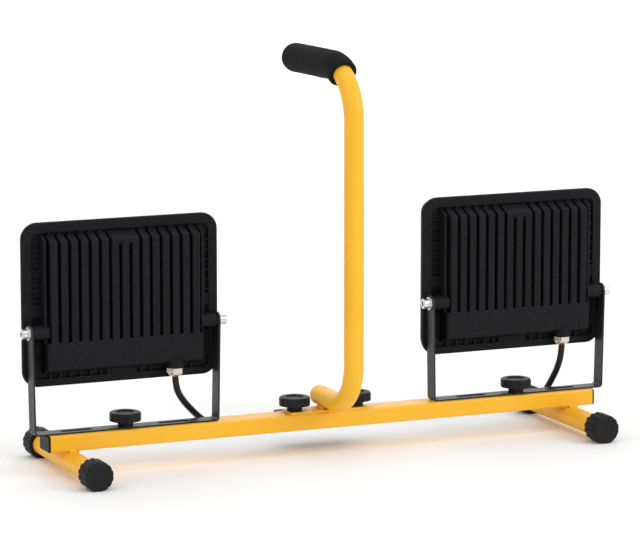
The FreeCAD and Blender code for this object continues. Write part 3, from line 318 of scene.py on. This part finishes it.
def grained_plastic():
    s = Surface("grained_plastic", Specular_IOR_Level=0.2)
    s.bump(s.cells(0.55 * MM), 0.05 * MM, 0.5)
    s.bump(s.noise(3 * MM, 3.0), 0.05 * MM, 0.4)
    tone = s.rescale(s.noise(12 * MM, 4.0), 0.3, 0.7)
    return s.finish(s.colours(tone, (0.006, 0.006, 0.0065), (0.012, 0.012, 0.013)),
                    s.rescale(s.noise(2.5 * MM, 3.0), 0.3, 0.7, 0.40, 0.54))


def plated_metal(name, dark, bright, rough):
    """Bright plating with faint tool marks and stains."""
    s = Surface(name, Metallic=1.0)
    s.bump(s.noise(0.25 * MM, 3.0, 0.6), 0.012 * MM, 0.5)
    s.bump(s.noise(2.5 * MM, 2.0), 0.03 * MM, 0.4)
    return s.finish(s.colours(s.rescale(s.noise(3 * MM, 5.0, 0.6), 0.3, 0.7), dark, bright),
                    s.rescale(s.noise(1.2 * MM, 4.0), 0.3, 0.7, rough - 0.07, rough + 0.1))


def cord_sheath():
    s = Surface("cord_sheath", Specular_IOR_Level=0.3)
    s.bump(s.noise(0.6 * MM, 3.0), 0.03 * MM, 0.6)
    s.bump(s.noise(9 * MM, 2.0), 0.2 * MM, 0.3)
    tone = s.rescale(s.noise(8 * MM, 4.0), 0.3, 0.7)
    return s.finish(s.colours(tone, (0.005, 0.005, 0.0055), (0.012, 0.012, 0.013)),
                    s.rescale(s.noise(3 * MM, 3.0), 0.3, 0.7, 0.36, 0.50))


def front_glass():
    s = Surface("front_glass", Transmission_Weight=1.0, IOR=1.5)
    s.bump(s.noise(60 * MM, 1.0), 0.02 * MM, 0.2)
    tone = s.noise(40 * MM, 2.0)
    return s.finish(s.colours(tone, (0.93, 0.97, 0.96), (0.97, 0.99, 0.985)),
                    s.rescale(s.noise(15 * MM, 4.0), 0.3, 0.8, 0.01, 0.06))


def white_moulding():
    s = Surface("white_moulding", Specular_IOR_Level=0.5)
    s.bump(s.noise(1.0 * MM, 3.0), 0.02 * MM, 0.5)
    tone = s.rescale(s.noise(20 * MM, 4.0), 0.3, 0.7)
    return s.finish(s.colours(tone, (0.74, 0.75, 0.74), (0.84, 0.85, 0.84)),
                    s.rescale(s.noise(6 * MM, 3.0), 0.3, 0.7, 0.24, 0.36))


def led_phosphor():
    s = Surface("led_phosphor", Specular_IOR_Level=0.5)
    s.bump(s.noise(0.3 * MM, 3.0, 0.7), 0.03 * MM, 0.6)
    grains = s.rescale(s.noise(0.5 * MM, 4.0, 0.7), 0.3, 0.7)
    return s.finish(s.colours(grains, (0.82, 0.58, 0.05), (0.95, 0.80, 0.16)),
                    s.rescale(s.noise(1.5 * MM, 2.0), 0.3, 0.7, 0.28, 0.40))


def solder_mask(name, dark, bright):
    """A coated circuit board with the faint weave of its glass cloth."""
    s = Surface(name, Specular_IOR_Level=0.5)
    wave = s.tree.nodes.new("ShaderNodeTexWave")
    s.feed(wave, Vector=s.place, Scale=1 / (4 * MM), Distortion=1.5, Detail=2.0)
    s.bump(wave.outputs["Fac"], 0.02 * MM, 0.4)
    return s.finish(s.colours(s.rescale(s.noise(6 * MM, 4.0), 0.3, 0.7), dark, bright),
                    s.rescale(s.noise(3 * MM, 3.0), 0.3, 0.7, 0.26, 0.40))


def silicone_bead():
    s = Surface("silicone_bead", Specular_IOR_Level=0.4)
    s.bump(s.noise(2.5 * MM, 3.0), 0.15 * MM, 0.5)
    tone = s.rescale(s.noise(7 * MM, 4.0), 0.3, 0.7)
    return s.finish(s.colours(tone, (0.05, 0.05, 0.052), (0.10, 0.10, 0.10)),
                    s.rescale(s.noise(4 * MM, 2.0), 0.3, 0.7, 0.40, 0.60))


def studio_floor():
    s = Surface("studio_floor", Specular_IOR_Level=0.2)
    s.bump(s.noise(3 * MM, 3.0), 0.02 * MM, 0.3)
    tone = s.rescale(s.noise(0.6, 3.0), 0.3, 0.7)
    return s.finish(s.colours(tone, (0.93, 0.93, 0.93), (0.95, 0.95, 0.95)),
                    s.rescale(s.noise(0.2, 2.0), 0.3, 0.7, 0.75, 0.85))


# ---------------------------------------------------------------- foam grip
GRIP_SIDES = 96
NOSE_STEPS = 18
RUN_STEPS = 120
LIP_STEPS = 6
BORE_STEPS = 24
SWELL = 0.20 * MM               # slow unevenness of the foam, and its size
SWELL_SIZE = 11 * MM
PORE = 0.05 * MM
PORE_SIZE = 1.8 * MM
FOLD_PITCH = 3.4 * MM           # folds on the inside of the bend
FOLD_DEPTH = 0.448 * MM
FOLD_ONSET = 2.5


def make_grip(material):
    """A foam sleeve: round tip, straight run, and part of the way round the upper bend."""
    along = Vector((0, math.cos(HANDLE_DROOP), -math.sin(HANDLE_DROOP)))
    inwards = Vector((0, along.z, -along.y))
    corner = Vector((0, BAR_Y - HANDLE_SETBACK, HANDLE_TOP))
    turn = math.pi / 2 + HANDLE_DROOP
    bend_start = corner + along * (BEND_RADIUS * math.tan(turn / 2))
    bend_centre = bend_start + inwards * BEND_RADIUS
    tip = corner + along * ((GRIP_END + HANDLE_SETBACK) / along.y)
    straight = (tip - bend_start).length
    mouth = straight + BEND_RADIUS * GRIP_TURN

    def station(distance):
        """Centre of the sleeve, its inward direction and how far round the bend it is."""
        if distance <= straight:
            return tip - along * distance, inwards, 0.0
        angle = (distance - straight) / BEND_RADIUS
        inner = inwards * math.cos(angle) + along * math.sin(angle)
        return bend_centre - inner * BEND_RADIUS, inner, angle / GRIP_TURN

    nose = GRIP_RADIUS - GRIP_TIP_FLAT
    outer = [(nose * (1 - math.cos(a)), GRIP_TIP_FLAT + nose * math.sin(a))
             for a in (math.pi / 2 * i / NOSE_STEPS for i in range(NOSE_STEPS + 1))]
    run = mouth - GRIP_LIP
    outer += [(nose + (run - nose) * i / RUN_STEPS, GRIP_RADIUS) for i in range(1, RUN_STEPS + 1)]
    outer += [(run + GRIP_LIP * math.sin(a), GRIP_RADIUS - GRIP_LIP * (1 - math.cos(a)))
              for a in (math.pi / 2 * i / LIP_STEPS for i in range(1, LIP_STEPS + 1))]
    bore = [(mouth, GRIP_BORE + 0.5 * MM), (mouth - 0.3 * MM, GRIP_BORE + 0.15 * MM)]
    bore_start = mouth - 0.9 * MM
    bore += [(bore_start + (GRIP_TIP - bore_start) * i / BORE_STEPS, GRIP_BORE)
             for i in range(BORE_STEPS + 1)]

    rings = []
    for index, (distance, radius) in enumerate(outer + bore):
        centre, inner, bent = station(distance)
        ring = circle(centre, X_AXIS, inner, radius, GRIP_SIDES)
        if index < len(outer):
            for j, point in enumerate(ring):
                facing = math.sin(2 * math.pi * j / GRIP_SIDES)
                swell = SWELL * noise.noise(point / SWELL_SIZE)
                swell += PORE * noise.noise(point / PORE_SIZE)
                folds = 0.5 + 0.5 * math.cos(distance / FOLD_PITCH * 2 * math.pi)
                reach = min(1.0, FOLD_ONSET * bent) * (1 - bent)
                swell -= FOLD_DEPTH * folds * max(facing, 0) ** 2 * reach
                ring[j] = point + (point - centre).normalized() * swell
        rings.append(ring)
    grip = mesh_object("foam_sleeve", rings)
    grip.data.materials.append(material)
    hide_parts("foam_grip")
    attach(grip, "stand")


# ---------------------------------------------------------------- welds
WELD_RADIUS = 1.9 * MM
WELD_RIPPLE = 2.2 * MM          # length of one ripple
WELD_WANDER = 0.35 * MM
WELD_STEP = 0.25 * MM
WELD_SIDES = 20
LEG_FLANK_OFFSET = 5.3 * MM     # beads along the crossbar's underside, each side of a leg
LEG_FLANK_HALF = 11.0 * MM
LEG_FLANK_DROP = 1.0 * MM
LEG_END_OFFSET = 12.0 * MM      # short beads across a leg, at the crossbar's faces
LEG_END_HALF = 3.8 * MM
LEG_END_RISE = 0.2 * MM
HANDLE_FLANK_OFFSET = 4.9 * MM  # beads along the handle's lower run
HANDLE_FLANK_HALF = 6.5 * MM
HANDLE_FLANK_RISE = 1.0 * MM


def make_weld(name, start, end, material):
    """A fillet weld's rippled bead, from one point to another, tapered at its ends."""
    length = (end - start).length
    steps = max(24, int(length / WELD_STEP))
    line = []
    for i in range(steps + 1):
        point = start.lerp(end, i / steps)
        sideways = Vector((noise.noise(point / (5 * MM)), noise.noise(point / (4 * MM) + X_AXIS), 0))
        line.append(point + sideways * WELD_WANDER)

    def swell(share):
        ends = min(1.0, 6 * share, 6 * (1 - share))
        ripple = abs(math.sin(math.pi * share * length / WELD_RIPPLE))
        return WELD_RADIUS * (0.35 + 0.65 * math.sqrt(ends)) * (0.90 + 0.14 * ripple)

    bead = tube_along(name, line, swell, WELD_SIDES)
    bead.data.materials.append(material)
    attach(bead, "stand")


def make_welds(material):
    for side, sign in (("left", -1), ("right", 1)):
        leg = Vector((sign * LEG_X, BAR_Y, BAR_BOTTOM))
        for flank, offset in (("outer", sign), ("inner", -sign)):
            middle = leg + Vector((offset * LEG_FLANK_OFFSET, 0, -LEG_FLANK_DROP))
            half = Vector((0, LEG_FLANK_HALF, 0))
            make_weld("weld_leg_%s_%s" % (side, flank), middle - half, middle + half, material)
        for end, offset in (("back", -LEG_END_OFFSET), ("front", LEG_END_OFFSET)):
            middle = leg + Vector((0, offset, LEG_END_RISE))
            half = Vector((LEG_END_HALF, 0, 0))
            make_weld("weld_leg_%s_%s" % (side, end), middle - half, middle + half, material)
    for flank, sign in (("left", -1), ("right", 1)):
        middle = Vector((sign * HANDLE_FLANK_OFFSET, BAR_Y, PLATE_TOP + HANDLE_FLANK_RISE))
        half = Vector((0, HANDLE_FLANK_HALF, 0))
        make_weld("weld_handle_" + flank, middle - half, middle + half, material)


# ---------------------------------------------------------------- studio
SKY_LOW = 0.32                  # brightness of the dome at the horizon and overhead
SKY_HIGH = 1.30
FLOOR_RADIUS = 14.0
FLOOR_SIDES = 64
LIGHT_TARGET = Vector((0, 0, 0.14))
LIGHTS = (                      # name, place, width and height, watts
    ("key", (2.2, -2.3, 1.7), (1.5, 1.5), 34),
    ("fill", (-2.4, -0.9, 1.2), (1.2, 1.6), 6),
    ("backdrop", (1.2, 4.2, 1.75), (6.0, 2.6), 42),
)


def make_light(name, at, size, power):
    data = bpy.data.lights.new(name, "AREA")
    data.shape = "RECTANGLE"
    data.size, data.size_y = size
    data.energy = power
    light = linked(name, data)
    light.location = at
    light.rotation_euler = (LIGHT_TARGET - Vector(at)).to_track_quat("-Z", "Y").to_euler()


def make_studio(floor_material):
    ring = circle(Vector(), X_AXIS, Vector((0, 1, 0)), FLOOR_RADIUS, FLOOR_SIDES)
    mesh = bpy.data.meshes.new("floor")
    mesh.from_pydata(ring, [], [tuple(range(FLOOR_SIDES))])
    mesh.materials.append(floor_material)
    linked("floor", mesh)

    world = bpy.data.worlds.new("studio")
    world.use_nodes = True
    tree = world.node_tree
    height = tree.nodes.new("ShaderNodeSeparateXYZ")
    tree.links.new(tree.nodes.new("ShaderNodeTexCoord").outputs["Generated"], height.inputs["Vector"])
    dome = tree.nodes.new("ShaderNodeMapRange")
    tree.links.new(height.outputs["Z"], dome.inputs["Value"])
    dome.inputs["To Min"].default_value = SKY_LOW
    dome.inputs["To Max"].default_value = SKY_HIGH
    sky = tree.nodes["Background"]
    sky.inputs["Color"].default_value = (1.0, 1.0, 1.0, 1.0)
    tree.links.new(dome.outputs["Result"], sky.inputs["Strength"])
    bpy.context.scene.world = world
    for name, at, size, power in LIGHTS:
        make_light(name, at, size, power)
    bpy.context.scene.view_settings.view_transform = "Standard"


# ---------------------------------------------------------------- build
make_camera()
sheath = cord_sheath()
make_leads(sheath)

yellow = yellow_powder_coat()
foam = grip_foam()
make_grip(foam)
make_welds(yellow)

finishes = {
    "yellow_paint": yellow,
    "black_paint": black_powder_coat(),
    "black_aluminium": cast_aluminium(),
    "black_rubber": cap_rubber(),
    "foam": foam,
    "black_plastic": grained_plastic(),
    "zinc_steel": plated_metal("zinc_plate", (0.62, 0.63, 0.65), (0.80, 0.81, 0.82), 0.30),
    "board_aluminium": solder_mask("white_solder_mask", (0.72, 0.73, 0.72), (0.82, 0.83, 0.82)),
    "led": led_phosphor(),
    "white_plastic": white_moulding(),
    "glass": front_glass(),
    "seal_rubber": silicone_bead(),
    "board_green": solder_mask("green_solder_mask", (0.010, 0.10, 0.035), (0.018, 0.15, 0.055)),
    "nickel_brass": plated_metal("nickel_plate", (0.60, 0.53, 0.48), (0.76, 0.70, 0.65), 0.28),
    "cord_rubber": sheath,
}
for part in frame["record"]["subparts"]:
    node = frame["nodes"][part["node"]]
    for material_slot in node.material_slots:
        material_slot.material = finishes[part["material_slot"]]

make_studio(studio_floor())
